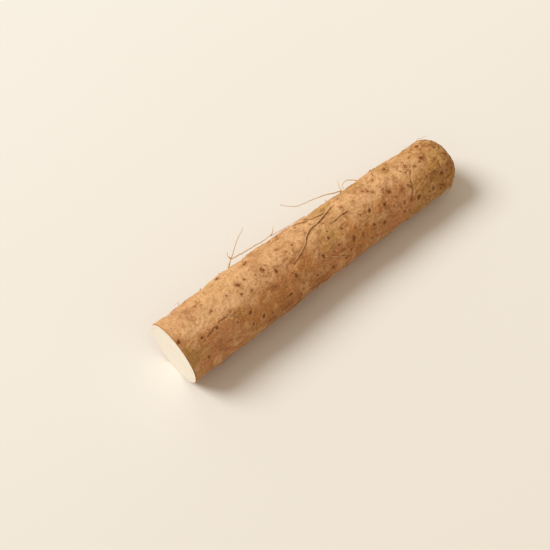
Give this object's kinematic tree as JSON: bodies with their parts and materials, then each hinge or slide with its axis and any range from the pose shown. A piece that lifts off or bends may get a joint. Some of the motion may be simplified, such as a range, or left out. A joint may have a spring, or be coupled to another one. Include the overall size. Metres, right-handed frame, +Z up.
{
  "type": "chinese yam",
  "caption": "Cut length of a Chinese yam root lying on its side: straight tan-skinned cylinder with a flat white cut end, a blunt rounded end and fine hair roots.",
  "frame": {"origin": "middle of the bounding box, on the surface that the root rests on", "axes": "+Z up; +Y along the root from the cut end to the rounded end; +X across it"},
  "size_m": [0.0604, 0.245, 0.0466],
  "materials": {
    "skin": "thin matte corky skin, mottled tan, with small dark root scars; the cut end is moist cream-white flesh",
    "rootlet": "dry, pale brown, matte hair root"
  },
  "bodies": {
    "root": {"tuber": "skin", "rootlet_back_fork": "rootlet", "rootlet_back_hook": "rootlet", "rootlet_back_short": "rootlet", "rootlet_back_wave": "rootlet", "rootlet_cut_end_curl": "rootlet", "rootlet_end_curl": "rootlet", "rootlet_end_hair": "rootlet", "rootlet_forked": "rootlet", "rootlet_free_arc": "rootlet", "rootlet_front_run": "rootlet", "rootlet_lower_edge": "rootlet", "rootlet_lower_run": "rootlet", "rootlet_main_strand": "rootlet", "rootlet_pale_thread": "rootlet", "rootlet_short_strand": "rootlet", "rootlet_small_loop": "rootlet"}
  },
  "joints": []
}
